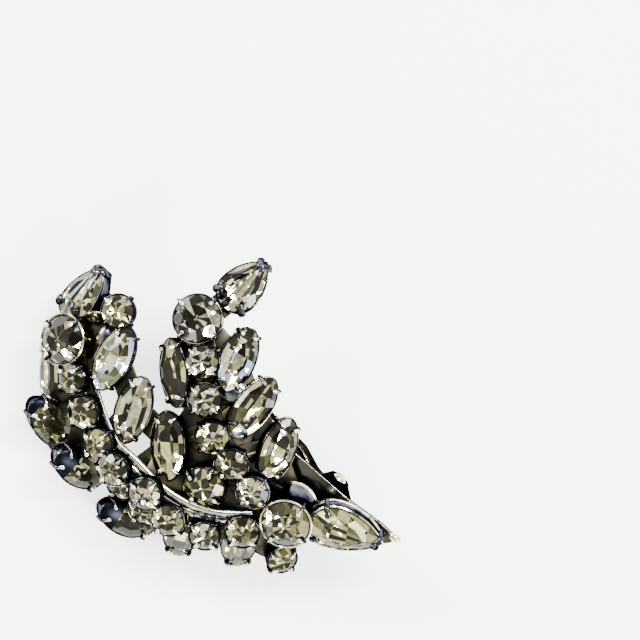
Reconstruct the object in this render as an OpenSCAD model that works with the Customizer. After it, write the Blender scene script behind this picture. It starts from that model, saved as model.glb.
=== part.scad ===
// Clip-on earring: two curved sprays of claw-set crystals on a wire frame, with a hinged clip behind.
// The sprays are laid out as seen from the front: x to the right, y up and z towards the wearer's
// audience. The whole earring is then turned so that it lies on its back as it would on a table.

/* [Crystals] */
// Diameter of the small round crystals
small_d = 3.4; // [3.0:0.1:3.5]
// Diameter of the middle round crystals
middle_d = 3.8; // [3.4:0.1:3.9]
// Diameter of the broad round crystal at the crossing of the sprays
broad_d = 4.8; // [4.4:0.1:4.9]
// Diameter of the large round crystals
large_d = 5.6; // [5.2:0.1:5.7]
// Length of the leaf-shaped crystals
leaf_l = 8.0; // [7.4:0.1:8.1]
// Width of the leaf-shaped crystals
leaf_w = 4.0; // [3.4:0.1:4.0]
// Length of the pear-shaped crystals at the tips
pear_l = 7.2; // [6.8:0.1:7.3]
// Width of the pear-shaped crystals at the tips
pear_w = 4.8; // [4.4:0.1:4.9]
// Length of the pear-shaped crystal at the base
base_pear_l = 8.8; // [8.2:0.1:8.9]
// Width of the pear-shaped crystal at the base
base_pear_w = 5.6; // [5.2:0.1:5.7]

/* [Setting] */
// Room between a crystal and its cup
seat_gap = 0.06; // [0.05:0.01:0.08]
// Thickness of a cup's wall at the rim
cup_wall = 0.2; // [0.18:0.02:0.24]
// Width of a claw
claw_w = 0.5; // [0.4:0.05:0.6]
// Diameter of the wires behind the crystals
wire_d = 1.1; // [1.0:0.05:1.2]
// Diameter of the two bright stem wires in front
stem_d = 0.8; // [0.7:0.05:0.9]
// Radius of the dome that the sprays follow
dome_r = 44; // [42:0.5:46]

/* [Clip] */
// Width of the base strip
strip_w = 5.4; // [5.2:0.1:5.6]
// Thickness of the stamped metal
sheet_t = 0.6; // [0.5:0.05:0.65]
// Height of the strip above the hinge pin
strip_rise = 2.7; // [2.6:0.1:2.8]
// Diameter of the hinge pin
pin_d = 1.0; // [0.9:0.05:1.1]
// Length of the paddle from the hinge pin
paddle_l = 20; // [18:0.5:21]
// Width of the paddle
paddle_w = 5.8; // [5.4:0.1:6.2]
// Height of the paddle's raised rim
paddle_rim = 1.5; // [1.2:0.1:1.8]

/* [Hidden] */
pin_gap = 0.05;

// Each cut: name, half of the length, half of the width, height of its cup, sides of its cup
CUTS = [
    ["small", small_d / 2, small_d / 2, 2.0, 8],
    ["middle", middle_d / 2, middle_d / 2, 2.2, 8],
    ["broad", broad_d / 2, broad_d / 2, 2.6, 10],
    ["large", large_d / 2, large_d / 2, 3.0, 10],
    ["crown", large_d / 2, large_d / 2, 6.0, 10],
    ["leaf", leaf_l / 2, leaf_w / 2, 2.2, 10],
    ["pear", pear_l / 2, pear_w / 2, 2.5, 10],
    ["base_pear", base_pear_l / 2, base_pear_w / 2, 2.4, 10]
];

// Each crystal: name, cut, x, y, lift off the dome, direction and angle that it leans, turn of its
// long axis, and the crystal whose cup the wire from its own cup runs to
OUTER_SPRAY = [
    ["outer_round_1", "middle", 3.2, -13.5, 1.2, -95, 25, 0, "base_crown"],
    ["outer_round_2", "small", -1.3, -14.0, 1.0, -105, 28, 0, "outer_round_1"],
    ["outer_round_3", "middle", -5.6, -12.1, 1.0, -120, 28, 0, "outer_round_2"],
    ["outer_round_4", "small", -8.6, -11.0, -0.6, -125, 38, 0, "outer_round_3"],
    ["outer_round_5", "middle", -8.3, -9.0, 1.9, -130, 25, 0, "outer_round_3"],
    ["outer_round_6", "small", -11.1, -8.0, -0.4, -130, 30, 0, "outer_round_5"],
    ["outer_round_7", "middle", -12.1, -6.1, 1.7, -145, 30, 0, "outer_round_5"],
    ["outer_round_8", "middle", -13.9, -3.2, 0.7, -155, 30, 0, "outer_round_7"],
    ["outer_round_9", "middle", -15.6, 0.6, 0.8, -165, 32, 0, "outer_round_8"],
    ["outer_round_10", "small", -17.1, 4.6, 0.8, -175, 34, 0, "outer_round_9"],
    ["outer_shoulder", "large", -18.1, 9.2, 1.0, 175, 34, 0, "outer_round_10"],
    ["outer_round_11", "middle", -11.5, 12.6, 0.5, 150, 15, 0, "outer_leaf_7"],
    ["outer_tip", "pear", -15.6, 14.8, -0.5, 145, 40, 50, "outer_round_11"],
    ["outer_leaf_1", "leaf", 2.7, -15.0, -2.5, -85, 52, -90, "outer_round_1"],
    ["outer_leaf_2", "leaf", -4.1, -13.7, -2.4, -100, 50, -100, "outer_round_3"],
    ["outer_leaf_3", "leaf", -10.4, -12.0, -2.6, -40, 38, -28, "outer_round_4"],
    ["outer_leaf_4", "leaf", -16.1, -6.1, -1.6, -45, 42, -38, "outer_round_8"],
    ["outer_leaf_5", "leaf", -19.4, -0.8, -1.4, -45, 34, -50, "outer_round_9"],
    ["outer_leaf_6", "leaf", -19.6, 5.1, -2.6, 175, 55, 95, "outer_round_10"],
    ["outer_leaf_7", "leaf", -12.0, 7.0, -0.2, 170, 14, 62, "outer_round_10"],
    ["outer_leaf_8", "leaf", -9.7, 0.9, -0.8, -140, 10, 72, "outer_round_8"]
];
INNER_SPRAY = [
    ["inner_tip", "pear", 3.5, 15.7, 0.0, 110, 8, 45, "inner_head"],
    ["inner_head", "large", -2.1, 11.7, 0.8, 145, 10, 0, "inner_round_1"],
    ["inner_round_1", "middle", -1.5, 6.6, 0.6, 180, 10, 0, "inner_round_2"],
    ["inner_round_2", "middle", -1.2, 2.1, 0.7, -145, 10, 0, "inner_round_3"],
    ["inner_round_3", "middle", -0.3, -2.4, 0.6, -80, 20, 0, "inner_round_4"],
    ["inner_round_4", "middle", 1.9, -5.6, 1.2, -100, 22, 0, "centre_round"],
    ["inner_leaf_1", "leaf", -4.9, 5.3, -0.8, -175, 42, 97, "inner_round_1"],
    ["inner_leaf_2", "leaf", -5.6, -3.3, -0.8, -170, 20, 92, "inner_round_3"],
    ["inner_leaf_3", "leaf", 2.7, 6.9, -0.6, 20, 12, 66, "inner_round_1"],
    ["inner_leaf_4", "leaf", 4.5, 1.3, -0.6, -30, 14, 53, "inner_round_2"],
    ["inner_leaf_5", "leaf", 7.4, -3.9, -0.8, -25, 22, 68, "inner_round_4"]
];
BASE = [
    ["centre_round", "broad", -1.3, -8.1, 0.6, -125, 32, 0, "centre_side"],
    ["centre_side", "middle", 4.4, -8.8, 1.6, -120, 28, 0, "base_crown"],
    ["base_crown", "crown", 8.3, -12.5, 2.8, -110, 26, 0, "none"],
    ["base_drop", "small", 7.9, -16.9, -1.8, -65, 38, 0, "base_crown"],
    ["base_pear", "base_pear", 15.4, -13.4, 2.8, -95, 36, -22, "base_crown"]
];
STONES = concat(OUTER_SPRAY, INNER_SPRAY, BASE);

// The dome's centre lies under this point of the front view
dome_x = 2;
dome_y = 3;

// The clip: its hinge pin, the direction and angle that it leans, and where its long axis points
hinge = [13.0, -9.2, -9.2];
clip_toward = -131;
clip_lean = 20;
clip_turn = 139;

// Turn that lays the earring down
rest_toward = 41.202;
rest_lean = 5.28;
rest_shift = [-0.116, -0.363, 11.768];

function unit(v) = v / norm(v);
function find(table, name) = [for (row = table) if (row[0] == name) row][0];

function dome_z(x, y) = sqrt(dome_r * dome_r - pow(x - dome_x, 2) - pow(y - dome_y, 2)) - dome_r;
function place(s) = [s[2], s[3], dome_z(s[2], s[3]) + s[4]];

// Direction that a crystal faces
function facing(s) = [sin(s[6]) * cos(s[5]), sin(s[6]) * sin(s[5]), cos(s[6])];

module leaning(toward, lean, turn) {
    rotate([0, 0, toward]) rotate([0, lean, 0]) rotate([0, 0, turn - toward]) children();
}

module at_crystal(s) {
    translate(place(s)) leaning(s[5], s[6], s[7]) children();
}

module in_clip() {
    translate(hinge) leaning(clip_toward, clip_lean, clip_turn) children();
}

module laid_down() {
    translate(rest_shift) leaning(rest_toward, -rest_lean, 0) children();
}

// Outline of a cut at angle t, with half length a and half width b. A leaf lies between an oval and
// the meeting of two arcs, by the share leaf_point.
leaf_point = 0.45;
function arc_r(a, b) = (a * a + b * b) / (2 * b);
function arc_y(a, b, x) = sqrt(pow(arc_r(a, b), 2) - x * x) - arc_r(a, b) + b;
function leaf_at(a, b, t) =
    [a * cos(t), leaf_point * (t < 180 ? 1 : -1) * arc_y(a, b, a * cos(t)) + (1 - leaf_point) * b * sin(t)];
function pear_at(a, b, t) =
    let (long = 2 * a - b)
    let (point = cos(t) > 0
        ? [long * cos(t), (t < 180 ? 1 : -1) * arc_y(long, b, long * cos(t))]
        : [b * cos(t), b * sin(t)])
    point - [a - b, 0];
function outline(cut, a, b, t) =
    cut == "leaf" ? leaf_at(a, b, t)
    : cut == "pear" || cut == "base_pear" ? pear_at(a, b, t)
    : [a * cos(t), b * sin(t)];

function ring(cut, a, b, z, n, start = 0) =
    [for (i = [0:n - 1]) let (p = outline(cut, a, b, (i * 360 / n + start + 360) % 360)) [p[0], p[1], z]];

// Cut crystal: an eight-sided table, star, kite and rim facets, a sharp edge and a pointed back
table_share = 0.56;
mid_share = 0.82;
function crown_h(b) = 0.36 * b;
function back_h(b) = 0.74 * b;
function mid_h(b) = crown_h(b) * (1 - mid_share * cos(22.5)) / (1 - table_share);

module crystal(cut) {
    c = find(CUTS, cut);
    a = c[1];
    b = c[2];
    top = ring(cut, a * table_share, b * table_share, crown_h(b), 8);
    mid = ring(cut, a * mid_share, b * mid_share, mid_h(b), 8, 22.5);
    rim = ring(cut, a, b, 0, 16);
    back = [[0, 0, -back_h(b)]];
    faces = concat(
        [[for (i = [7:-1:0]) i]],
        [for (i = [0:7]) [i, (i + 1) % 8, 8 + i]],
        [for (i = [0:7]) [i, 8 + i, 16 + 2 * i]],
        [for (i = [0:7]) [i, 16 + 2 * i, 8 + (i + 7) % 8]],
        [for (i = [0:7]) [8 + i, 17 + 2 * i, 16 + 2 * i]],
        [for (i = [0:7]) [8 + i, 16 + (2 * i + 2) % 16, 17 + 2 * i]],
        [for (i = [0:15]) [16 + i, 16 + (i + 1) % 16, 32]]
    );
    polyhedron(concat(top, mid, rim, back), faces);
}

// Half sizes of a cup's outline that stays at least this far outside the crystal
function around(c, d) = [c[1] + d, c[2] + d] / cos(180 / c[4]);

// Seat that a crystal needs in the metal: a plain form just outside the crystal
seat_top_share = 0.7;
module seat(cut) {
    c = find(CUTS, cut);
    n = c[4];
    a = around(c, seat_gap)[0];
    b = around(c, seat_gap)[1];
    top = ring(cut, a * seat_top_share, b * seat_top_share, crown_h(c[2]) + seat_gap, n, -180 / n);
    points = concat(top, ring(cut, a, b, 0, n), [[0, 0, -back_h(b)]]);
    polyhedron(points, concat([[for (i = [n - 1:-1:0]) i]], band(0, n, 0),
                              [for (i = [0:n - 1]) [n + i, n + (i + 1) % n, 2 * n]]));
}

// Triangles that join ring k of n points to the ring below it, which is half a step ahead when
// turned is 0 and half a step behind when it is 1
function band(k, n, turned) =
    [for (i = [0:n - 1])
        let (a = k * n + i, b = k * n + (i + 1) % n)
        let (c = (k + 1) * n + i, d = (k + 1) * n + (i + 1) % n)
        each (turned == 0 ? [[a, b, c], [b, d, c]] : [[a, d, c], [a, b, d]])];

// Cup under a crystal: a wall that tapers in to a flat bottom. The shares are of the rim's size at
// the rim, half way down and at the bottom.
cup_rim = -0.05;
cup_shares = [1, 0.92, 0.55];
tall_cup_shares = [1, 0.96, 0.8];
module cup(cut) {
    c = find(CUTS, cut);
    n = c[4];
    shares = cut == "crown" ? tall_cup_shares : cup_shares;
    heights = [cup_rim, -c[3] / 2, -c[3]];
    size = around(c, seat_gap + cup_wall);
    points = [for (k = [0:2])
        each ring(cut, size[0] * shares[k], size[1] * shares[k], heights[k], n, k % 2 * 180 / n)];
    polyhedron(points, concat([[for (i = [n - 1:-1:0]) i]], band(0, n, 0), band(1, n, 1),
                              [[for (i = [0:n - 1]) 2 * n + i]]));
}

// Claw: rises along the cup's wall and bends in over the crystal's edge
function claw_angles(cut) =
    cut == "leaf" ? [38, 142, 218, 322]
    : cut == "pear" || cut == "base_pear" ? [24, 125, 235, 336]
    : [45, 135, 225, 315];

// Side view of a claw: distance outside the crystal's edge, and height above that edge
claw_rise = 0.82;
claw_gap = 0.14;
claw_t = 0.36;
claw_foot = [0.2, -0.6];
claw_shoulder = [0.5, 0.35];
claw_reach = 0.35;
claw_reach_most = 0.8;
function claw_profile(reach) =
    [claw_foot, [0.1, claw_gap], [-reach, claw_rise * reach + claw_gap],
     [-reach, claw_rise * reach + claw_gap + claw_t], claw_shoulder];

module claw(cut, t) {
    c = find(CUTS, cut);
    edge = outline(cut, c[1], c[2], t);
    along = unit(outline(cut, c[1], c[2], t + 2) - edge);
    translate([edge[0], edge[1], 0])
        rotate([0, 0, atan2(-along[0], along[1])])
            rotate([90, 0, 0])
                linear_extrude(claw_w, center = true)
                    polygon(claw_profile(min(claw_reach_most, claw_reach * c[2])));
}

function cup_foot(s) = place(s) - facing(s) * (find(CUTS, s[1])[3] - wire_d * 0.3);

module wire(from, to, d) {
    v = to - from;
    translate(from)
        rotate([0, 0, atan2(v[1], v[0])])
            rotate([0, acos(v[2] / norm(v)), 0])
                cylinder(h = norm(v), d = d, $fn = 6);
}

// Points of the bright stem that runs along the crossing of the two sprays, and the shift in x, the
// shift in y and the lift off the dome of its two wires
STEM = [[-11.4, -3.2], [-9.0, -5.2], [-7.4, -7.3], [-4.6, -9.4], [-2.0, -10.7], [1.0, -11.4], [4.4, -11.2]];
STEM_WIRES = [[0, 0, 0.3], [-0.6, -0.6, -0.1]];
function stem_point(p, lift) = [p[0], p[1], dome_z(p[0], p[1]) + lift];

module stem(side, lift) {
    for (i = [0:len(STEM) - 2])
        hull()
            for (p = [STEM[i], STEM[i + 1]])
                translate(stem_point(p + side, lift)) sphere(d = stem_d, $fn = 6);
}

// Rivets that hold the strip: a pad above it, a peg through it and a low head below it. Each row has
// its place in the clip's own frame and the crystal whose cup its strut runs to.
RIVETS = [[4.6, 0.6, "base_crown"], [-3.9, -0.8, "base_pear"]];
rivet_d = 1.2;
head_d = 2 * rivet_d;
head_t = 0.35;
pad_t = 0.9;
strut_start = 0.7;
strut_d = 1.5 * wire_d;

module rivet(r) {
    head_z = strip_rise - seat_gap - head_t;
    pad_z = strip_rise + sheet_t + seat_gap;
    in_clip()
        translate([r[0], r[1], 0]) {
            translate([0, 0, head_z]) cylinder(h = head_t, d = head_d, $fn = 12);
            translate([0, 0, head_z]) cylinder(h = pad_z - head_z, d = rivet_d, $fn = 12);
            translate([0, 0, pad_z]) cylinder(h = pad_t, d = head_d, $fn = 12);
        }
}

// A point of the clip's own frame, seen from the front
function from_clip(p) =
    let (ca = cos(clip_turn - clip_toward), sa = sin(clip_turn - clip_toward))
    let (q = [ca * p[0] - sa * p[1], sa * p[0] + ca * p[1], p[2]])
    let (cl = cos(clip_lean), sl = sin(clip_lean), ct = cos(clip_toward), st = sin(clip_toward))
    let (v = [cl * q[0] + sl * q[2], q[1], cl * q[2] - sl * q[0]])
    hinge + [ct * v[0] - st * v[1], st * v[0] + ct * v[1], v[2]];

// Within this distance a crystal's neighbours are cleared by its claws
near = 8;

module setting_frame() {
    color("dimgray")
        laid_down() {
            difference() {
                union() {
                    for (s = STONES) {
                        at_crystal(s) cup(s[1]);
                        if (s[8] != "none")
                            wire(cup_foot(s), cup_foot(find(STONES, s[8])), wire_d);
                    }
                    for (r = RIVETS) {
                        rivet(r);
                        wire(from_clip([r[0], r[1], strip_rise + sheet_t + strut_start]),
                             cup_foot(find(STONES, r[2])), strut_d);
                    }
                    for (s = STEM_WIRES)
                        stem([s[0], s[1]], s[2]);
                }
                for (s = STONES)
                    at_crystal(s) seat(s[1]);
            }
            for (s = STONES)
                difference() {
                    at_crystal(s)
                        for (t = claw_angles(s[1]))
                            claw(s[1], t);
                    for (other = STONES)
                        if (other[0] != s[0] && norm(place(other) - place(s)) < near)
                            at_crystal(other) seat(other[1]);
                }
        }
}

// Strip soldered behind the base, with a pointed tongue past the hinge and a turned-down inner end
strip_start = -3;
strip_end = 6;
tongue = [[-3, -2.7], [-7.0, -3.1], [-9.9, -3.0], [-9.3, -1.8], [-7.0, 0.6], [-5, 2.1], [-3, 2.7]];

module strip_shape() {
    translate([strip_start, -strip_w / 2]) square([strip_end - strip_start, strip_w]);
    polygon(tongue);
    translate([strip_end, 0]) circle(d = strip_w, $fn = 48);
}

ear_d = 2.8;
module ear_shape() {
    top = strip_rise + sheet_t / 2;
    circle(d = ear_d, $fn = 48);
    polygon([[-ear_d / 2, 0], [ear_d / 2, 0], [2.2, top], [-2.8, top]]);
}

module clip_base() {
    color("dimgray")
        laid_down() in_clip()
            difference() {
                union() {
                    translate([0, 0, strip_rise]) linear_extrude(sheet_t) strip_shape();
                    for (y = [-strip_w / 2, strip_w / 2 - sheet_t])
                        translate([0, y + sheet_t, 0])
                            rotate([90, 0, 0]) linear_extrude(sheet_t) ear_shape();
                }
                pin_bore();
                for (r = RIVETS)
                    translate([r[0], r[1], strip_rise - 1])
                        cylinder(h = 3, d = rivet_d + 2 * seat_gap, $fn = 48);
            }
}

module pin_bore() {
    rotate([90, 0, 0]) cylinder(h = 2 * strip_w, d = pin_d + 2 * pin_gap, center = true, $fn = 48);
}

pin_head_d = pin_d + 0.8;
pin_head_t = 0.4;
module hinge_pin() {
    color("silver")
        laid_down() in_clip()
            rotate([90, 0, 0]) {
                cylinder(h = strip_w + pin_head_t, d = pin_d, center = true, $fn = 48);
                for (side = [0, 180])
                    rotate([side, 0, 0])
                        translate([0, 0, strip_w / 2 + pin_gap])
                            cylinder(h = pin_head_t, d1 = pin_head_d, d2 = pin_d, $fn = 48);
            }
}

// Paddle: a dished plate with a raised rim whose free end rises towards the sprays
knuckle_d = 2.4;
knuckle_w = strip_w - 2 * sheet_t - 0.3;
neck_l = 2.6;
shoulder_l = 3;
floor_z = 0.2;
bend_at = 10.5;
bend_rise = 5.6;
bend_steps = 10;
paddle_drop = 10;
function bend(x) = x < bend_at ? 0 : bend_rise * pow((x - bend_at) / (paddle_l - bend_at), 2);

module paddle_outline(inset) {
    half = paddle_w / 2 - inset;
    neck = knuckle_w / 2 - inset;
    wide = neck_l + shoulder_l;
    polygon([[0, -neck], [neck_l, -neck], [wide, -half], [paddle_l - half, -half],
             [paddle_l - half, half], [wide, half], [neck_l, neck], [0, neck]]);
    translate([paddle_l - half - inset, 0]) circle(r = half, $fn = 64);
}

module bent_band(low, high) {
    steps = [for (i = [0:bend_steps]) i * (paddle_l + 1) / bend_steps];
    rotate([90, 0, 0])
        linear_extrude(2 * paddle_w, center = true)
            polygon(concat([for (x = steps) [x, low + bend(x)]],
                           [for (i = [bend_steps:-1:0]) [steps[i], high + bend(steps[i])]]));
}

module clip_paddle() {
    color("gray")
        laid_down() in_clip() rotate([0, paddle_drop, 0])
            difference() {
                union() {
                    intersection() {
                        linear_extrude(paddle_l) paddle_outline(0);
                        bent_band(floor_z, floor_z + sheet_t + paddle_rim);
                    }
                    rotate([90, 0, 0]) cylinder(h = knuckle_w, d = knuckle_d, center = true, $fn = 48);
                }
                intersection() {
                    linear_extrude(paddle_l) paddle_outline(sheet_t);
                    bent_band(floor_z + sheet_t, paddle_l);
                    translate([neck_l, -paddle_w, 0]) cube([paddle_l, 2 * paddle_w, paddle_l]);
                }
                pin_bore();
            }
}

module set_crystal(s) {
    color("lightyellow")
        laid_down() at_crystal(s) crystal(s[1]);
}

setting_frame();
clip_base();
hinge_pin();
clip_paddle();
for (s = STONES)
    set_crystal(s);
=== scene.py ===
# Crystal clip-on earring lying on its back on a pale table.
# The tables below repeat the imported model's own places in millimetres. Each cut of crystal, its cup
# and its claw are modelled once and copied to those places.
import itertools
import math
import random

import bmesh
import bpy
from mathutils import Matrix, Vector
from mathutils.geometry import intersect_point_line


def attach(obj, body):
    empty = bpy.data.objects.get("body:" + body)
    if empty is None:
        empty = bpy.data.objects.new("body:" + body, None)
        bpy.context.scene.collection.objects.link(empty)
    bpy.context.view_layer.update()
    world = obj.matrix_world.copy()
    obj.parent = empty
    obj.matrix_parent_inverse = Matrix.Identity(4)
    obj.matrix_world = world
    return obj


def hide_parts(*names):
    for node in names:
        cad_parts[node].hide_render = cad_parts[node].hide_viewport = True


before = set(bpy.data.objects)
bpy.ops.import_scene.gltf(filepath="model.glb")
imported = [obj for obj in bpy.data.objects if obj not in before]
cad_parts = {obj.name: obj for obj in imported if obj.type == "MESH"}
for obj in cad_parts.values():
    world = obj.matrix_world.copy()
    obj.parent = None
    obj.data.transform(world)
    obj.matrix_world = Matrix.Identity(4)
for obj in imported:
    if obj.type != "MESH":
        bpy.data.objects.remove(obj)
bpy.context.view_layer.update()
mm = 0.001


print("frame loaded,", len(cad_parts), "nodes")


# Small helpers
def deselectAll():
    if bpy.context.object and bpy.context.object.mode != "OBJECT":
        bpy.ops.object.mode_set(mode="OBJECT")
    bpy.ops.object.select_all(action="DESELECT")


def pick(piece):
    deselectAll()
    piece.select_set(True)
    bpy.context.view_layer.objects.active = piece


def edit(piece, mode="VERT"):
    pick(piece)
    bpy.ops.object.mode_set(mode="EDIT")
    bpy.ops.mesh.select_mode(type=mode)
    bpy.ops.mesh.select_all(action="SELECT")


def leaveEdit():
    bpy.ops.object.mode_set(mode="OBJECT")
    return bpy.context.object


def joinPieces(pieces, name):
    deselectAll()
    for piece in pieces:
        piece.select_set(True)
    bpy.context.view_layer.objects.active = pieces[0]
    if len(pieces) > 1:
        bpy.ops.object.join()
    joined = bpy.context.object
    joined.name = name
    joined.data.name = name
    return joined


def mergePoints(piece, reach):
    # merges points that lie together and turns every face outwards
    edit(piece)
    bpy.ops.mesh.remove_doubles(threshold=reach)
    bpy.ops.mesh.normals_make_consistent(inside=False)
    leaveEdit()


def applyModifiers(piece):
    pick(piece)
    for modifier in list(piece.modifiers):
        bpy.ops.object.modifier_apply(modifier=modifier.name)


def smooth(piece, degrees=40):
    # faces that meet at less than this angle are shaded as one surface
    pick(piece)
    bpy.ops.object.shade_smooth_by_angle(angle=math.radians(degrees))


def copyTo(master, matrix, name):
    # each copy has its own mesh, and its place is in that mesh
    piece = bpy.data.objects.new(name, master.data.copy())
    bpy.context.scene.collection.objects.link(piece)
    piece.data.transform(matrix)
    return piece


def dropMasters(masters):
    for master in masters:
        bpy.data.objects.remove(master, do_unlink=True)


def coverWith(piece, *materials):
    piece.data.materials.clear()
    for material in materials:
        piece.data.materials.append(material)


def linear(hexColour):
    # sRGB hex to the linear colour that the sockets take
    values = [int(hexColour[i:i + 2], 16) / 255 for i in (1, 3, 5)]
    return [v / 12.92 if v <= 0.04045 else ((v + 0.055) / 1.055) ** 2.4 for v in values] + [1.0]


def addNode(tree, kind, settings=None, links=None):
    # settings and links go by the socket's name or number, other settings by the node's own names
    made = tree.nodes.new("ShaderNode" + kind)
    for key, value in (settings or {}).items():
        if isinstance(key, int) or key in made.inputs:
            made.inputs[key].default_value = value
        else:
            setattr(made, key, value)
    for key, source in (links or {}).items():
        tree.links.new(source, made.inputs[key])
    return made


def newMaterial(name, settings):
    material = bpy.data.materials.new(name)
    material.use_nodes = True
    tree = material.node_tree
    shader = tree.nodes["Principled BSDF"]
    for key, value in settings.items():
        shader.inputs[key].default_value = value
    return material, tree, shader


# Places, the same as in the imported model: how the earring lies, where the clip sits on it and the ball
# that the sprays follow
rest = {"toward": 41.202, "lean": 5.28, "shift": (-0.116, -0.363, 11.768)}
clip = {"hinge": (13.0, -9.2, -9.2), "toward": -131, "lean": 20, "turn": 139}
dome = {"radius": 44, "x": 2, "y": 3}


def leaning(toward, lean, turn):
    # turns a piece about its own axis and then leans it in a direction, all in degrees
    return (Matrix.Rotation(math.radians(toward), 4, "Z") @ Matrix.Rotation(math.radians(lean), 4, "Y")
            @ Matrix.Rotation(math.radians(turn - toward), 4, "Z"))


def millimetres():
    return Matrix.Scale(mm, 4)


def frontToTable():
    # from the front view, in mm, to the table, in metres
    return millimetres() @ Matrix.Translation(rest["shift"]) @ leaning(rest["toward"], -rest["lean"], 0)


def clipPlace():
    return Matrix.Translation(clip["hinge"]) @ leaning(clip["toward"], clip["lean"], clip["turn"])


def domeHeight(x, y):
    return math.sqrt(dome["radius"] ** 2 - (x - dome["x"]) ** 2 - (y - dome["y"]) ** 2) - dome["radius"]


# Camera: straight onto the earring's front, from far away as the photograph looks
view = {
    "middle": (12.353, 11.529),    # mm, in the front view
    "width": 75.29,
    "distance": 1200.0,
    "sensor": 36,
    "clipFrom": 0.05,    # metres
    "clipTo": 10,
}


def placeCamera():
    bpy.ops.object.camera_add()
    camera = bpy.context.object
    camera.name = "productCamera"
    turn = leaning(rest["toward"], -rest["lean"], 0)
    spot = frontToTable() @ Vector((view["middle"][0], view["middle"][1], view["distance"]))
    camera.matrix_world = Matrix.Translation(spot) @ turn
    camera.data.sensor_width = view["sensor"]
    camera.data.lens = view["sensor"] * view["distance"] / view["width"]
    camera.data.clip_start = view["clipFrom"]
    camera.data.clip_end = view["clipTo"]
    bpy.context.scene.camera = camera


placeCamera()
print("camera placed")

# Table and light: a softly lit table in a pale tent that is dark where the camera looks in, and small
# lamps that show as sparkles in the facets
studio = {
    "table": "#f4f4f2",
    "tableSize": 3,    # metres
    "glow": 2.6,
    "tent": "#fffdf4",
    "tentStrength": 1.4,
    "opening": "#20242c",
    "openingEdge": (0.87, 0.97),   # height on a ball of radius 1 from which the tent turns dark
    "lampShape": 0.7,    # a lamp's height as a share of its width
    # direction round the table and height above it in degrees, distance and width in mm, watts, colour
    "lamps": [
        (45, 52, 600, 220, 9.0, "#fffbee"),
        (140, 34, 600, 200, 7.0, "#fffcf2"),
        (310, 34, 600, 200, 7.0, "#fffaea"),
        (95, 66, 650, 90, 2.0, "#c4dcff"),
        (15, 78, 700, 80, 1.0, "#ffffff"),
    ],
}


def buildTent():
    world = bpy.data.worlds.new("paleTent")
    bpy.context.scene.world = world
    world.use_nodes = True
    tree = world.node_tree
    place = addNode(tree, "TexCoord")
    axes = addNode(tree, "SeparateXYZ", {}, {0: place.outputs["Generated"]})
    low, high = studio["openingEdge"]
    share = addNode(tree, "MapRange", {"From Min": low, "From Max": high}, {"Value": axes.outputs["Z"]})
    ends = {"data_type": "RGBA", 6: linear(studio["tent"]), 7: linear(studio["opening"])}
    colour = addNode(tree, "Mix", ends, {0: share.outputs["Result"]})
    air = tree.nodes["Background"]
    air.inputs["Strength"].default_value = studio["tentStrength"]
    tree.links.new(colour.outputs[2], air.inputs["Color"])


def buildStudio():
    bpy.ops.mesh.primitive_plane_add(size=studio["tableSize"])
    table = bpy.context.object
    table.name = "litTable"
    # opal acrylic, lit from below: pale and even, with only a faint shadow
    material, tree, shader = newMaterial("opalAcrylicSheet", {
        "Base Color": linear(studio["table"]), "Roughness": 0.8,
        "Emission Color": linear(studio["table"]), "Emission Strength": studio["glow"]})
    table.data.materials.append(material)
    buildTent()
    for azimuth, height, distance, width, watts, colour in studio["lamps"]:
        a = math.radians(azimuth)
        h = math.radians(height)
        spot = Vector((math.cos(a) * math.cos(h), math.sin(a) * math.cos(h), math.sin(h))) * distance * mm
        bpy.ops.object.light_add(type="AREA", location=spot)
        lamp = bpy.context.object
        lamp.rotation_euler = spot.to_track_quat("Z", "Y").to_euler()
        lamp.data.shape = "RECTANGLE"
        lamp.data.size = width * mm
        lamp.data.size_y = width * mm * studio["lampShape"]
        lamp.data.energy = watts
        lamp.data.color = linear(colour)[:3]
        lamp.visible_camera = False


buildStudio()
print("studio built")

# Degrees round a crystal where its claws stand
roundClaws = (45, 135, 225, 315)
leafClaws = (38, 142, 218, 322)
pearClaws = (24, 125, 235, 336)
# Each cut: half length, half width and height of its cup in mm, its claws and its plan of facets
cuts = {
    "small": {"a": 1.7, "b": 1.7, "cup": 2.0, "claws": roundClaws, "facets": "round"},
    "middle": {"a": 1.9, "b": 1.9, "cup": 2.2, "claws": roundClaws, "facets": "round"},
    "broad": {"a": 2.4, "b": 2.4, "cup": 2.6, "claws": roundClaws, "facets": "largeRound"},
    "large": {"a": 2.8, "b": 2.8, "cup": 3.0, "claws": roundClaws, "facets": "largeRound"},
    "shoulder": {"a": 2.8, "b": 2.8, "cup": 3.0, "claws": roundClaws, "facets": "largeRound"},
    "crown": {"a": 2.8, "b": 2.8, "cup": 6.0, "claws": roundClaws, "facets": "crowded"},
    "leaf": {"a": 4.0, "b": 2.0, "cup": 2.2, "claws": leafClaws, "facets": "leaf"},
    "stepLeaf": {"a": 4.0, "b": 2.0, "cup": 2.2, "claws": leafClaws, "facets": "stepLeaf"},
    "pear": {"a": 3.6, "b": 2.4, "cup": 2.5, "claws": pearClaws, "facets": "pear"},
    "basePear": {"a": 4.4, "b": 2.8, "cup": 2.4, "claws": pearClaws, "facets": "crowdedPear"},
}
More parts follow.
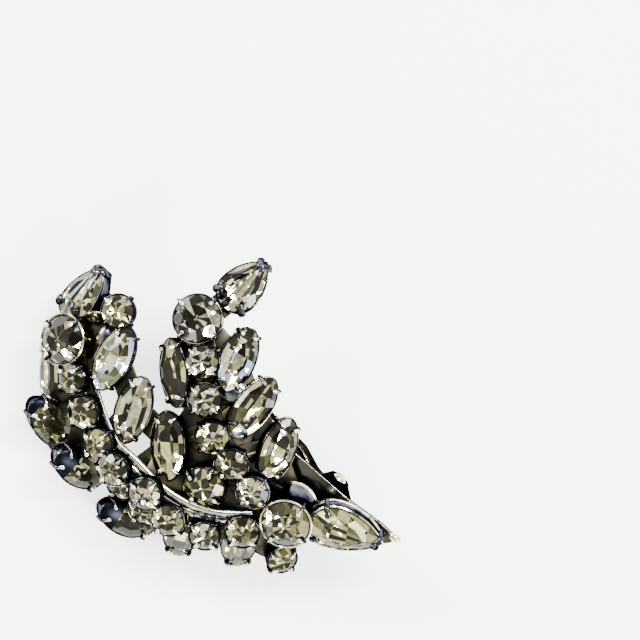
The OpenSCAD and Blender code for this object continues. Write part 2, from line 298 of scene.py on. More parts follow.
# Each crystal: cut, x, y, lift off the dome, direction and angle that it leans, turn of its long axis,
# the crystal that its wire runs to, how far its foil has aged, and its share of patches painted light
columns = ("cut", "x", "y", "lift", "toward", "lean", "turn", "wireTo", "age", "light")
crystals = {
    "outer_round_1": ("middle", 3.2, -13.5, 1.2, -95, 25, 0, "base_crown", 0.5, 0.5),
    "outer_round_2": ("small", -1.3, -14.0, 1.0, -105, 28, 0, "outer_round_1", 0.2, 0.6),
    "outer_round_3": ("middle", -5.6, -12.1, 1.0, -120, 28, 0, "outer_round_2", 0.3, 0.5),
    "outer_round_4": ("small", -8.6, -11.0, -0.6, -125, 38, 0, "outer_round_3", 0.5, 0.4),
    "outer_round_5": ("middle", -8.3, -9.0, 1.9, -130, 25, 0, "outer_round_3", 0.2, 0.6),
    "outer_round_6": ("small", -11.1, -8.0, -0.4, -130, 30, 0, "outer_round_5", 0.1, 0.45),
    "outer_round_7": ("middle", -12.1, -6.1, 1.7, -145, 30, 0, "outer_round_5", 0.2, 0.5),
    "outer_round_8": ("middle", -13.9, -3.2, 0.7, -155, 30, 0, "outer_round_7", 0.5, 0.5),
    "outer_round_9": ("middle", -15.6, 0.6, 0.8, -165, 32, 0, "outer_round_8", 0.5, 0.5),
    "outer_round_10": ("small", -17.1, 4.6, 0.8, -175, 34, 0, "outer_round_9", 0.4, 0.45),
    "outer_shoulder": ("shoulder", -18.1, 9.2, 1.0, 175, 34, 0, "outer_round_10", 0.0, 0.25),
    "outer_round_11": ("middle", -11.5, 12.6, 0.5, 150, 15, 0, "outer_leaf_7", 0.5, 0.65),
    "outer_tip": ("pear", -15.6, 14.8, -0.5, 145, 40, 50, "outer_round_11", 0.2, 0.5),
    "outer_leaf_1": ("stepLeaf", 2.7, -15.0, -2.5, -85, 52, -90, "outer_round_1", 1.8, 0.5),
    "outer_leaf_2": ("leaf", -4.1, -13.7, -2.4, -100, 50, -100, "outer_round_3", 1.2, 0.45),
    "outer_leaf_3": ("stepLeaf", -10.4, -12.0, -2.6, -40, 38, -28, "outer_round_4", 0.8, 0.3),
    "outer_leaf_4": ("leaf", -16.1, -6.1, -1.6, -45, 42, -38, "outer_round_8", 0.7, 0.25),
    "outer_leaf_5": ("stepLeaf", -19.4, -0.8, -1.4, -45, 34, -50, "outer_round_9", 0.7, 0.35),
    "outer_leaf_6": ("stepLeaf", -19.6, 5.1, -2.6, 175, 55, 95, "outer_round_10", 0.6, 0.2),
    "outer_leaf_7": ("leaf", -12.0, 7.0, -0.2, 170, 14, 62, "outer_round_10", 0.2, 0.7),
    "outer_leaf_8": ("stepLeaf", -9.7, 0.9, -0.8, -140, 10, 72, "outer_round_8", 0.1, 0.6),
    "inner_tip": ("pear", 3.5, 15.7, 0.0, 110, 8, 45, "inner_head", 0.1, 0.65),
    "inner_head": ("large", -2.1, 11.7, 0.8, 145, 10, 0, "inner_round_1", 0.0, 0.3),
    "inner_round_1": ("middle", -1.5, 6.6, 0.6, 180, 10, 0, "inner_round_2", 0.1, 0.5),
    "inner_round_2": ("middle", -1.2, 2.1, 0.7, -145, 10, 0, "inner_round_3", 0.1, 0.5),
    "inner_round_3": ("middle", -0.3, -2.4, 0.6, -80, 20, 0, "inner_round_4", 0.5, 0.55),
    "inner_round_4": ("middle", 1.9, -5.6, 1.2, -100, 22, 0, "centre_round", 0.5, 0.5),
    "inner_leaf_1": ("stepLeaf", -4.9, 5.3, -0.8, -175, 42, 97, "inner_round_1", 0.8, 0.25),
    "inner_leaf_2": ("leaf", -5.6, -3.3, -0.8, -170, 20, 92, "inner_round_3", 0.6, 0.45),
    "inner_leaf_3": ("leaf", 2.7, 6.9, -0.6, 20, 12, 66, "inner_round_1", 0.1, 0.65),
    "inner_leaf_4": ("stepLeaf", 4.5, 1.3, -0.6, -30, 14, 53, "inner_round_2", 0.3, 0.5),
    "inner_leaf_5": ("leaf", 7.4, -3.9, -0.8, -25, 22, 68, "inner_round_4", 0.4, 0.4),
    "centre_round": ("broad", -1.3, -8.1, 0.6, -125, 32, 0, "centre_side", 0.6, 0.4),
    "centre_side": ("middle", 4.4, -8.8, 1.6, -120, 28, 0, "base_crown", 0.1, 0.65),
    "base_crown": ("crown", 8.3, -12.5, 2.8, -110, 26, 0, None, 0.35, 0.55),
    "base_drop": ("small", 7.9, -16.9, -1.8, -65, 38, 0, "base_crown", 0.8, 0.5),
    "base_pear": ("basePear", 15.4, -13.4, 2.8, -95, 36, -22, "base_crown", 0.6, 0.65),
}
crystals = {name: dict(zip(columns, row)) for name, row in crystals.items()}
leafArcs = 0.2    # share of the two meeting arcs in a leaf's outline, where the rest is an oval


def cutOf(name):
    return cuts[crystals[name]["cut"]]


def crystalSpot(name):
    row = crystals[name]
    return Vector((row["x"], row["y"], domeHeight(row["x"], row["y"]) + row["lift"]))


def crystalPlace(name):
    row = crystals[name]
    return Matrix.Translation(crystalSpot(name)) @ leaning(row["toward"], row["lean"], row["turn"])


def arcHeight(a, b, x):
    radius = (a * a + b * b) / (2 * b)
    return math.sqrt(max(0.0, radius * radius - x * x)) - radius + b


def outlineDegrees(vertex, count):
    # the angle of one of the points of an even ring, rid of rounding errors
    turn = math.degrees(math.atan2(vertex.co.y, vertex.co.x)) % 360
    return round(turn * count / 360) * 360 / count


def edgePoint(cut, a, b, degrees):
    # outline of a cut; a leaf lies between an oval and two meeting arcs, a pear has one pointed end
    t = math.radians(degrees)
    side = 1 if degrees % 360 < 180 else -1
    x, y = a * math.cos(t), b * math.sin(t)
    if cut in ("leaf", "stepLeaf"):
        y = leafArcs * side * arcHeight(a, b, x) + (1 - leafArcs) * y
    if cut in ("pear", "basePear"):
        long = 2 * a - b
        x, y = b * math.cos(t), b * math.sin(t)
        if math.cos(t) > 0:
            x = long * math.cos(t)
            y = side * arcHeight(long, b, x)
        x -= a - b
    return Vector((x, y, 0))


# Heights as shares of half the width, from the crystal's edge
cutting = {
    "table": 0.36,
    "edge": 0.03,
    "point": 0.74,       # depth of the facets' common point
    "depth": 0.75,       # of the blank that they are ground from
    "points": 64,        # in the outline
    "reach": 0.0001,     # mm within which a cut keeps to a point that is there
    "level": 0.99,       # a face that looks up more than this is the table
    "merge": 0.0002,     # share of half the width within which points merge
}
# Facets as a wheel grinds them: directions that they face, then the two levels that each joins. A
# level is a share of the outline and a height.
stepAngles = [90, 270, 66, 114, 246, 294, 38, 142, 218, 322]
pearAngles = [42, 66, 90, 120, 150, 180, 210, 240, 270, 294, 318]
# Then come the rings, star and straight cuts of the patches that the light makes in the crown, and the
# share of patches that stray from their turns of light and dark.
facets = {
    "round": {
        "crown": [
            (range(0, 360, 45), (1, 0.03), (0.56, 0.36)),
            ([22.5 + 45 * k for k in range(8)], (0.8, 0.246), (0.517, 0.36)),
            ([11.25 + 22.5 * k for k in range(16)], (1, 0.03), (0.8, 0.217)),
        ],
        "back": [
            (range(0, 360, 45), (1, -0.05), (0, -0.74)),
            ([11.25 + 22.5 * k for k in range(16)], (1, -0.03), (0.5, -0.42)),
        ],
        "rings": [0.34],
        "star": True,
        "stray": 0.22,
        "cuts": [(0, 0, 22.5 + 45 * k) for k in range(4)],
    },
    "leaf": {
        "crown": [
            (stepAngles, (1, 0.03), (0.78, 0.23)),
            (stepAngles, (0.8, 0.22), (0.5, 0.36)),
        ],
        "back": [
            (stepAngles, (1, -0.04), (0.55, -0.46)),
            (stepAngles, (0.6, -0.43), (0, -0.74)),
        ],
        "rings": [0.2],
        "star": False,
        "stray": 0.15,
        "cuts": [(0, 0.42, 0), (0, -0.34, 0), (-0.52, 0, 80), (0.12, 0, 96), (0.6, 0, 100)],
    },
    "pear": {
        "crown": [
            (pearAngles, (1, 0.03), (0.56, 0.36)),
            ([a + 12 for a in pearAngles], (1, 0.03), (0.8, 0.215)),
            ([a + 12 for a in pearAngles], (0.75, 0.25), (0.5, 0.36)),
        ],
        "back": [
            (pearAngles, (1, -0.05), (0, -0.74)),
            ([a + 12 for a in pearAngles], (1, -0.03), (0.5, -0.41)),
        ],
        "rings": [],
        "star": False,
        "stray": 0.12,
        "cuts": [(1.1, 0, angle) for angle in (-26, -17, -9, -3, 3, 9, 17, 26)] + [(-0.42, 0, 90)],
    },
}
eightCuts = [(0, 0, 22.5 * k) for k in range(8)]
facets["stepLeaf"] = dict(
    facets["leaf"], stray=0.2,
    cuts=[(0, 0.14, 0), (0, -0.5, 0), (-0.64, 0, 98), (0.45, 0, 82)])
facets["crowdedPear"] = dict(
    facets["pear"], stray=0.25,
    cuts=facets["pear"]["cuts"] + [(0.02, 0, 78), (0.4, 0, 101), (0, 0.28, 5), (0, -0.4, -6)])
facets["crowded"] = dict(
    facets["round"], rings=[0.25, 0.25], stray=0.3,
    cuts=eightCuts + [(0.5, 0, 90), (-0.5, 0, 84), (0, 0.5, 4), (0, -0.5, -5)])
facets["largeRound"] = dict(facets["round"], rings=[0.4], stray=0.12, cuts=eightCuts)


def grind(outline, angles, first, second, halfWidth):
    for angle in angles:
        facing = Vector((math.cos(math.radians(angle)), math.sin(math.radians(angle)), 0))
        reach = max(point.dot(facing) for point in outline)
        run = (first[0] - second[0]) * reach
        rise = (second[1] - first[1]) * halfWidth
        normal = facing * abs(rise) + Vector((0, 0, math.copysign(run, rise)))
        start = facing * first[0] * reach + Vector((0, 0, first[1] * halfWidth))
        bpy.ops.mesh.select_all(action="SELECT")
        bpy.ops.mesh.bisect(plane_co=start, plane_no=normal.normalized(), use_fill=True,
                            clear_outer=True, threshold=cutting["reach"])


def chooseFaces(piece, wanted):
    # selects the faces that pass a test, in edit mode
    bpy.ops.mesh.select_all(action="DESELECT")
    bm = bmesh.from_edit_mesh(piece.data)
    bm.faces.ensure_lookup_table()
    for face in bm.faces:
        face.select_set(bool(wanted(face)))
    bmesh.update_edit_mesh(piece.data)


def splitCrown(crystal, plan, a, b):
    # the light paths that show through the table and the crown: rings, then straight cuts
    high = cutting["table"] * b - cutting["reach"]
    chooseFaces(crystal, lambda face: (face.calc_center_median().z > high
                                       and face.normal.z > cutting["level"]))
    for share in plan["rings"]:
        bpy.ops.mesh.inset(thickness=share * b)
    if plan["star"]:
        bpy.ops.mesh.poke()
    for x, y, angle in plan["cuts"]:
        chooseFaces(crystal, lambda face: face.calc_center_median().z > cutting["edge"] * b)
        facing = (math.sin(math.radians(angle)), math.cos(math.radians(angle)), 0)
        bpy.ops.mesh.bisect(plane_co=(x * a, y * b, 0), plane_no=facing, threshold=cutting["reach"])


def makeCrystal(cut):
    a, b = cuts[cut]["a"], cuts[cut]["b"]
    plan = facets[cuts[cut]["facets"]]
    count = cutting["points"]
    bpy.ops.mesh.primitive_cylinder_add(vertices=count, radius=1, depth=1)
    crystal = bpy.context.object
    crystal.name = "crystalOf" + cut
    outline = [edgePoint(cut, a, b, 360 * i / count) for i in range(count)]
    low, high = -cutting["depth"] * b, cutting["table"] * b
    for vertex in crystal.data.vertices:
        spot = edgePoint(cut, a, b, outlineDegrees(vertex, count))
        vertex.co = Vector((spot.x, spot.y, high if vertex.co.z > 0 else low))
    edit(crystal)
    for angles, first, second in plan["crown"] + plan["back"]:
        grind(outline, angles, first, second, b)
    bpy.ops.mesh.select_all(action="SELECT")
    bpy.ops.mesh.remove_doubles(threshold=cutting["merge"] * b)
    bpy.ops.mesh.normals_make_consistent(inside=False)
    splitCrown(crystal, plan, a, b)
    leaveEdit()
    for polygon in crystal.data.polygons:
        polygon.use_smooth = False
    return crystal


# Materials of the crystals
crystalLook = {
    # tones of the patches: their light and dark are painted reflections of the foil, over the glass's own
    # smoky and yellow tone
    "black": "#15150f",
    "smoke": "#403e2a",
    "grey": "#5f6062",
    "olive": "#60603a",
    "clear": "#dddbc8",
    "ivory": "#dcd69c",
    # pale blue of the painted glints
    "ice": "#c9dcff",
    # shares of smoke in the patches painted dark and of ivory in those painted light, each with how often
    # it is drawn
    "dark": [(0.0, 5), (0.2, 3), (0.5, 2), (1.0, 2)],
    "light": [(0.0, 3), (0.3, 3), (0.7, 3), (1.0, 3), (1.35, 2)],
    # degrees that the patches lean, and how far to either side of the crystal's middle they turn
    "darkLeans": (3, 7, 12),
    "lightLeans": (15, 19, 23, 27, 31),
    "scatter": 30,
    "upright": 0.5,       # how far a leaning crystal's patches turn back upwards
    "sideways": 0.05,     # faces that look up less than this keep their own direction
    # share of yellow in new foil and what age adds to it, then the olive that age adds
    "yellow": 0.45,
    "yellowing": 1.4,
    "olivedAge": 0.3,
    # share of light patches painted with a pale-blue glint in a few crystals, then in the others
    "paintedGlint": {"outer_leaf_7": 0.4, "outer_tip": 0.2, "inner_leaf_3": 0.35, "outer_round_2": 0.3,
            "inner_leaf_5": 0.25},
    "paintedGlintElsewhere": 0.04,
    "waveSize": 1.1,      # mm, and how far the mirrored light wavers inside a patch
    "wave": 0.55,
    "hazeSize": 0.7,
    "dull": {"From Min": 0.35, "From Max": 0.7, "To Min": 0.04, "To Max": 0.13},     # roughness by haze
    "shade": {"From Min": 0.3, "From Max": 0.65, "To Min": 0.55, "To Max": 1.15},    # brightness by haze
}


def crystalMaterial():
    # foil-backed lead glass, pressed and polished: mirror-like patches under a clear gloss. Each patch
    # mirrors its own direction, as the silver foil behind it does, with a slow wave in it, and a faint
    # haze dulls the gloss. The patches' base colour is painted light and shade: light and dark tones and
    # a few painted blue glints stand for the light that the foil returns.
    material, tree, shader = newMaterial("foiledLeadGlass", {
        "Metallic": 0.92, "Coat Weight": 0.5, "Coat Roughness": 0.01, "Coat IOR": 1.55})
    tint = addNode(tree, "Attribute", {"attribute_name": "facetPaintedLight"})
    lean = addNode(tree, "Attribute", {"attribute_name": "facetLean"})
    toWorld = {"vector_type": "NORMAL", "convert_from": "OBJECT", "convert_to": "WORLD"}
    turned = addNode(tree, "VectorTransform", toWorld, {"Vector": lean.outputs["Vector"]})
    place = addNode(tree, "TexCoord")
    wave = addNode(tree, "TexNoise", {"Scale": 1 / (crystalLook["waveSize"] * mm), "Detail": 1.0},
                   {"Vector": place.outputs["Object"]})
    # the noise lies round 0.5, and the wave has to go as far to one side as to the other
    level = addNode(tree, "VectorMath", {"operation": "SUBTRACT", 1: (0.5, 0.5, 0.5)},
                    {0: wave.outputs["Color"]})
    waved = addNode(tree, "VectorMath", {"operation": "MULTIPLY_ADD", 1: (crystalLook["wave"],) * 3},
                    {0: level.outputs["Vector"], 2: turned.outputs["Vector"]})
    haze = addNode(tree, "TexNoise", {"Scale": 1 / (crystalLook["hazeSize"] * mm), "Detail": 4.0},
                   {"Vector": place.outputs["Object"]})
    rough = addNode(tree, "MapRange", crystalLook["dull"], {"Value": haze.outputs["Fac"]})
    shade = addNode(tree, "MapRange", crystalLook["shade"], {"Value": haze.outputs["Fac"]})
    colour = addNode(tree, "Mix", {"data_type": "RGBA", "blend_type": "MULTIPLY", 0: 1.0},
                     {6: tint.outputs["Color"], 7: shade.outputs["Result"]})
    tree.links.new(colour.outputs[2], shader.inputs["Base Color"])
    tree.links.new(rough.outputs["Result"], shader.inputs["Roughness"])
    tree.links.new(waved.outputs["Vector"], shader.inputs["Normal"])
    return material


def blendColours(first, second, share):
    return [a + (b - a) * share for a, b in zip(first, second)]


def drawShare(draw, rows):
    return draw.choices([share for share, often in rows], [often for share, often in rows])[0]


def isPaintedLightPatch(cut, centre):
    # patches are painted light and dark by turns, as painted reflections, across every cut of the crown
    # and across the table's edge, which is met a little below its height
    a, b = cuts[cut]["a"], cuts[cut]["b"]
    crossed = centre.z > (cutting["table"] - 0.01) * b
    for x, y, angle in facets[cuts[cut]["facets"]]["cuts"]:
        facing = Vector((math.sin(math.radians(angle)), math.cos(math.radians(angle)), 0))
        crossed += (centre - Vector((x * a, y * b, 0))).dot(facing) > 0
    return crossed % 2 == 1


def paintLightAndDarkPatches(piece, master, name, place):
    # gives each patch its lean and its painted tone of light and shade; the draw is seeded with the
    # crystal's name
    draw = random.Random(name)
    row = crystals[name]
    stray = facets[cutOf(name)["facets"]]["stray"]
    turn = place.to_3x3().normalized()
    axis = (turn @ Vector((0, 0, 1))).lerp(Vector((0, 0, 1)), crystalLook["upright"]).normalized()
    upright = (turn @ Vector((0, 0, 1))).rotation_difference(axis).to_matrix() @ turn
    black, smoke = linear(crystalLook["black"]), linear(crystalLook["smoke"])
    yellow = min(1, crystalLook["yellow"] + crystalLook["yellowing"] * row["age"])
    olive = blendColours(linear(crystalLook["grey"]), linear(crystalLook["olive"]), yellow)
    ivory = blendColours(linear(crystalLook["clear"]), linear(crystalLook["ivory"]), yellow)
    ivory = blendColours(ivory, linear(crystalLook["olive"]), crystalLook["olivedAge"] * row["age"])
    ice = linear(crystalLook["ice"])
    leans = []
    tints = []
    for polygon in master.data.polygons:
        centre = polygon.center
        light = isPaintedLightPatch(row["cut"], centre) != (draw.random() < stray)
        if draw.random() < abs(2 * row["light"] - 1):
            light = row["light"] > 0.5
        scatter = draw.uniform(-crystalLook["scatter"], crystalLook["scatter"])
        toward = math.atan2(centre.y, centre.x) + math.pi + math.radians(scatter)
        lean = math.radians(draw.choice(crystalLook["lightLeans" if light else "darkLeans"]))
        flat = math.sin(lean)
        local = Vector((flat * math.cos(toward), flat * math.sin(toward), math.cos(lean)))
        tone = drawShare(draw, crystalLook["light" if light else "dark"])
        paintedGlint = draw.random() < crystalLook["paintedGlint"].get(name, crystalLook["paintedGlintElsewhere"])
        # a light patch gets a painted reflection, a dark one painted shade
        if light:
            tint = blendColours(olive, ice if paintedGlint else ivory, tone)
        else:
            tint = blendColours(black, smoke, tone)
        if polygon.normal.z < crystalLook["sideways"]:
            leans.extend(turn @ polygon.normal)
        else:
            leans.extend(upright @ local)
        tints.extend(tint)
    mesh = piece.data
    mesh.attributes.new("facetLean", "FLOAT_VECTOR", "FACE").data.foreach_set("vector", leans)
    mesh.attributes.new("facetPaintedLight", "FLOAT_COLOR", "FACE").data.foreach_set("color", tints)


def setCrystals():
    foiled = crystalMaterial()
    masters = {cut: makeCrystal(cut) for cut in cuts}
    for name, row in crystals.items():
        master = masters[row["cut"]]
        place = frontToTable() @ crystalPlace(name)
        piece = copyTo(master, place, name + "_stone")
        coverWith(piece, foiled)
        paintLightAndDarkPatches(piece, master, name, place)
        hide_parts(name)
        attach(piece, "ornament")
    dropMasters(masters.values())


setCrystals()
print("crystals set")

# Materials of the metal: colours, and sizes of their clouds in mm
metalLook = {
    "plate": "#4b4b51",
    "tarnish": "#26262b",
    "plateSize": 2.2,
    # colour of the painted highlights on rims, edges, claws, stems and the pin
    "bright": "#eee8d2",
    "grazing": "#7e7e88",
    "brass": "#55554a",
    "brassDark": "#191917",
    "brassSize": 1.6,
    "thin": "#55544c",
    "thinSize": 5.0,
    "film": "#7c7d7f",
    "shadeFillBrown": "#3d3a2c",
    "blackened": "#14161f",
    "soot": "#0b0b0f",
    "gilt": "#d8c48a",
    "giltSize": 1.1,
}


def metalMaterial(name, clean, dark, size, clouds, roughness):
    # clean metal with darker, duller clouds; the grazing tint keeps its depth where it is seen edge on
    material, tree, shader = newMaterial(name, {
        "Metallic": 1.0, "Specular Tint": linear(metalLook["grazing"])})
    place = addNode(tree, "TexCoord")
    grain = {"Scale": 1 / (metalLook[size] * mm), "Detail": 5.0, "Roughness": 0.6}
    noise = addNode(tree, "TexNoise", grain, {"Vector": place.outputs["Object"]})
    share = addNode(tree, "MapRange", {"From Min": clouds[0], "From Max": clouds[1]},
                    {"Value": noise.outputs["Fac"]})
    ends = {"data_type": "RGBA", 6: linear(metalLook[clean]), 7: linear(metalLook[dark])}
    colour = addNode(tree, "Mix", ends, {0: share.outputs["Result"]})
    rough = addNode(tree, "MapRange", {"To Min": roughness[0], "To Max": roughness[1]},
                    {"Value": share.outputs["Result"]})
    tree.links.new(colour.outputs[2], shader.inputs["Base Color"])
    tree.links.new(rough.outputs["Result"], shader.inputs["Roughness"])
    return material


# black rhodium over brass, tumbled: a dark mirror with darker clouds
plated = metalMaterial("blackRhodiumPlate", "plate", "tarnish", "plateSize", (0.42, 0.62), (0.06, 0.2))
# the same plate made bright along rims and edges, where it shows as broken bright lines: a painted
# highlight
paintedEdgeHighlight = metalMaterial("paintedHighlightEdge", "bright", "plate", "plateSize", (0.46, 0.6), (0.14, 0.25))
# the same plate, bright only here and there: a painted highlight in broken spots
paintedSpotHighlight = metalMaterial("paintedSpotHighlightEdge", "bright", "tarnish", "plateSize", (0.36, 0.46), (0.12, 0.25))
# the same plate, bright nearly all over: a painted highlight
paintedBroadHighlight = metalMaterial("paintedBroadHighlightPlate", "bright", "plate", "plateSize", (0.5, 0.7), (0.14, 0.25))
# the same plate with only a film left: grey and soft
greyed = metalMaterial("greyRhodiumFilm", "film", "plate", "plateSize", (0.48, 0.7), (0.16, 0.3))
# the same plate, thin enough in broad patches for the brass under it to tint it
thinned = metalMaterial("thinRhodiumOverBrass", "thin", "tarnish", "thinSize", (0.44, 0.6), (0.08, 0.22))
# plate blackened right through and left dull
blackened = metalMaterial("blackenedRhodium", "blackened", "soot", "plateSize", (0.45, 0.65), (0.3, 0.45))
# stamped brass with its dark plate nearly gone: a mottled sheen of grey and olive
mottled = metalMaterial("mottledStampedBrass", "brass", "brassDark", "brassSize", (0.4, 0.62), (0.12, 0.3))
# solder, wires and straps behind the crystals, dark brown and dull; the straps fill gaps where there is
# only shade, so their dark is painted shade; it takes light from the side
solderAndShadeFill = metalMaterial("solderAndPaintedShadeFill", "shadeFillBrown", "tarnish", "plateSize", (0.42, 0.66), (0.3, 0.48))
# gilt left on a cup's wall and on a lobe: broken gold streaks
gilt = metalMaterial("wornGilt", "gilt", "brassDark", "giltSize", (0.5, 0.6), (0.12, 0.25))

# Cups: rings of (mm outside the crystal's edge, share of that size, height). Heights are in mm in the
# rims, and shares of the cup's height in the walls.
cupLook = {
    "points": 48,
    "seat": (0.42, 0.45),    # size and depth of the hollow under the crystal, as shares
    # from this height up the rim carries a painted highlight
    "paintedHighlightFrom": 0.0,         # height above the crystal's edge from which the rim is worn bright
    "rim": [(0.1, 1, -0.04), (0.11, 1, 0.03), (0.15, 1, 0.08), (0.2, 1, 0.07), (0.24, 1, 0.0)],
    "broadRim": [(0.1, 1, -0.04), (0.11, 1, 0.04), (0.2, 1, 0.12), (0.3, 1, 0.11), (0.38, 1, 0.0)],
    "wall": [(0.25, 0.995, -0.2), (0.25, 0.97, -0.55), (0.24, 0.91, -0.8), (0.22, 0.8, -0.94),
             (0.2, 0.62, -1)],
    # cups of these cuts have their own walls, and the broad rim
    "walls": {
        "shoulder": [(0.28, 1, -0.12), (0.25, 0.99, -0.5), (0.24, 0.93, -0.8), (0.22, 0.8, -0.94),
                     (0.2, 0.62, -1)],
        "crown": [(0.27, 1, -0.06), (0.26, 1, -0.4), (0.26, 0.98, -0.8), (0.4, 0.98, -0.83),
                  (0.42, 0.98, -0.88), (0.36, 0.97, -0.93), (0.2, 0.85, -1)],
        "basePear": [(0.28, 1, -0.1), (0.28, 1, -0.38), (0.4, 1, -0.42), (0.42, 1, -0.5),
                     (0.3, 0.99, -0.55), (0.24, 0.9, -0.85), (0.2, 0.66, -1)],
    },
    # the bright lines of these bands are painted highlights
    "paintedHighlightBands": {"crown": (-5.4, -4.85), "basePear": (-1.28, -0.94)},    # heights of their bright lines
    # finishes of the wall and the rim, for these crystals' cups and then for the others; the rim's bright
    # finish is a painted highlight
    "finishes": {
        "outer_shoulder": (gilt, paintedEdgeHighlight),
        "inner_head": (plated, paintedEdgeHighlight),
        "inner_leaf_4": (plated, paintedEdgeHighlight),
        "base_crown": (plated, paintedBroadHighlight),
        "base_pear": (plated, paintedEdgeHighlight),
    },
    "plainFinish": (plated, paintedSpotHighlight),
    "filedTo": 0.02,         # mm above the table to which a low cup is filed
    "filedReach": 0.001,
}


def makeCup(cut):
    a, b, depth = cuts[cut]["a"], cuts[cut]["b"], cuts[cut]["cup"]
    count = cupLook["points"]
    walls = cupLook["walls"].get(cut, cupLook["wall"])
    rim = cupLook["broadRim"] if cut in cupLook["walls"] else cupLook["rim"]
    bpy.ops.mesh.primitive_circle_add(vertices=count, radius=1, fill_type="NOTHING")
    cup = bpy.context.object
    cup.name = "cupOf" + cut
    grow, share, top = rim[0]
    for vertex in cup.data.vertices:
        spot = edgePoint(cut, a + grow, b + grow, outlineDegrees(vertex, count))
        vertex.co = spot + Vector((0, 0, top))
    # the seat goes down inside, and then the rim and the wall go over and down outside
    edit(cup, "EDGE")
    size, sink = cupLook["seat"]
    bpy.ops.mesh.extrude_edges_move(TRANSFORM_OT_translate={"value": (0, 0, -sink * b)})
    bpy.ops.transform.resize(value=(size, size, 1), center_override=(0, 0, 0))
    bpy.ops.mesh.edge_face_add()
    leaveEdit()
    edit(cup, "EDGE")
    bpy.ops.mesh.select_all(action="DESELECT")
    bm = bmesh.from_edit_mesh(cup.data)
    for e in bm.edges:
        e.select = all(abs(v.co.z - top) < cutting["reach"] for v in e.verts)
    bmesh.update_edit_mesh(cup.data)
    now = (a + grow, b + grow, top)
    for grow, share, height in rim[1:] + [(g, s, h * depth) for g, s, h in walls]:
        target = ((a + grow) * share, (b + grow) * share, height)
        bpy.ops.mesh.extrude_edges_move(TRANSFORM_OT_translate={"value": (0, 0, height - now[2])})
        bpy.ops.transform.resize(value=(target[0] / now[0], target[1] / now[1], 1),
                                 center_override=(0, 0, height))
        now = target
    bpy.ops.mesh.edge_face_add()
    bpy.ops.mesh.select_all(action="SELECT")
    bpy.ops.mesh.normals_make_consistent(inside=False)
    leaveEdit()
    smooth(cup)
    low, high = cupLook["paintedHighlightBands"].get(cut, (0, 0))
    for polygon in cup.data.polygons:
        height = polygon.center.z
        polygon.material_index = int(height > cupLook["paintedHighlightFrom"] or low < height < high)
    return cup


# The cups of three leaves are rolled over the ends of their crystals
hoodLook = {
    "wall": 0.2,         # mm outside the crystal's edge
    "height": 0.98,
    "thickness": 0.2,
    "lean": 0.4,         # of its open edge
    "foot": -0.2,
    "from": {"outer_leaf_3": 0.35, "outer_leaf_4": 0.3, "outer_leaf_5": 0.76},   # share of half the length
}


def makeHood(name):
    a, b = cutOf(name)["a"], cutOf(name)["b"]
    bpy.ops.mesh.primitive_uv_sphere_add(segments=40, ring_count=20, radius=1)
    hood = bpy.context.object
    hood.name = "hoodOf" + name
    edit(hood)
    bpy.ops.transform.resize(value=(a + hoodLook["wall"], b + hoodLook["wall"], hoodLook["height"]))
    mouth = ((-hoodLook["from"][name] * a, 0, 0), (1, 0, hoodLook["lean"]))
    foot = ((0, 0, hoodLook["foot"]), (0, 0, -1))
    for spot, facing in (mouth, foot):
        bpy.ops.mesh.select_all(action="SELECT")
        bpy.ops.mesh.bisect(plane_co=spot, plane_no=facing, clear_outer=True)
    leaveEdit()
    wall = hood.modifiers.new("thickness", "SOLIDIFY")
    wall.thickness = hoodLook["thickness"]
    applyModifiers(hood)
    hood.data.transform(frontToTable() @ crystalPlace(name))
    smooth(hood)
    hood.data.materials.append(blackened)
    return hood


# Claws: rings of (mm outside the edge, height above it, radius) along the bent wire
clawLook = {
    "sides": 10,
    "smoothing": 60,
    # from this height up a claw's ball end carries a painted highlight
    "tip": 0.7,           # height above the edge from which a claw is rubbed bright
    "stretch": {"pear": (1.15, 2.0, 1.15), "basePear": (1.15, 1.5, 1.15)},    # outwards, sideways and up
    "path": [(0.3, -1.0, 0.22), (0.3, -0.2, 0.24), (0.3, 0.08, 0.24), (0.19, 0.32, 0.23),
             (0.02, 0.49, 0.21), (-0.17, 0.61, 0.2), (-0.3, 0.69, 0.27), (-0.46, 0.79, 0.29),
             (-0.6, 0.87, 0.23), (-0.67, 0.91, 0.1)],
    "along": 2,           # degrees over which the edge's direction is read
    "steps": (0, 8, -8, 16, -16, 24, -24, 32, -32),    # degrees that a claw may move to stand free
    "near": 8,            # mm within which crystals are neighbours
    "room": 1.02,         # share of a crystal's outline that has to be free, and mm above its table
    "above": 0.1,
}


def makeClaw():
    path = clawLook["path"]
    bpy.ops.mesh.primitive_circle_add(vertices=clawLook["sides"], radius=path[0][2], fill_type="NGON",
                                      location=(path[0][0], 0, path[0][1]))
    claw = bpy.context.object
    claw.name = "claw"
    bpy.ops.object.transform_apply(location=True)
    edit(claw, "FACE")
    lean = 0.0
    for (x0, z0, r0), (x1, z1, r1) in zip(path, path[1:]):
        bpy.ops.mesh.extrude_region_move(TRANSFORM_OT_translate={"value": (x1 - x0, 0, z1 - z0)})
        ahead = math.atan2(x1 - x0, z1 - z0)
        bpy.ops.transform.rotate(value=-(ahead - lean), orient_axis="Y", center_override=(x1, 0, z1))
        lean = ahead
        bpy.ops.transform.resize(value=(r1 / r0, r1 / r0, r1 / r0), center_override=(x1, 0, z1))
    bpy.ops.mesh.select_all(action="SELECT")
    bpy.ops.mesh.normals_make_consistent(inside=False)
    leaveEdit()
    smooth(claw, clawLook["smoothing"])
    # faces of the ball end take the second material, the painted highlight of all but pear claws
    for polygon in claw.data.polygons:
        polygon.material_index = int(polygon.center.z > clawLook["tip"])
    return claw


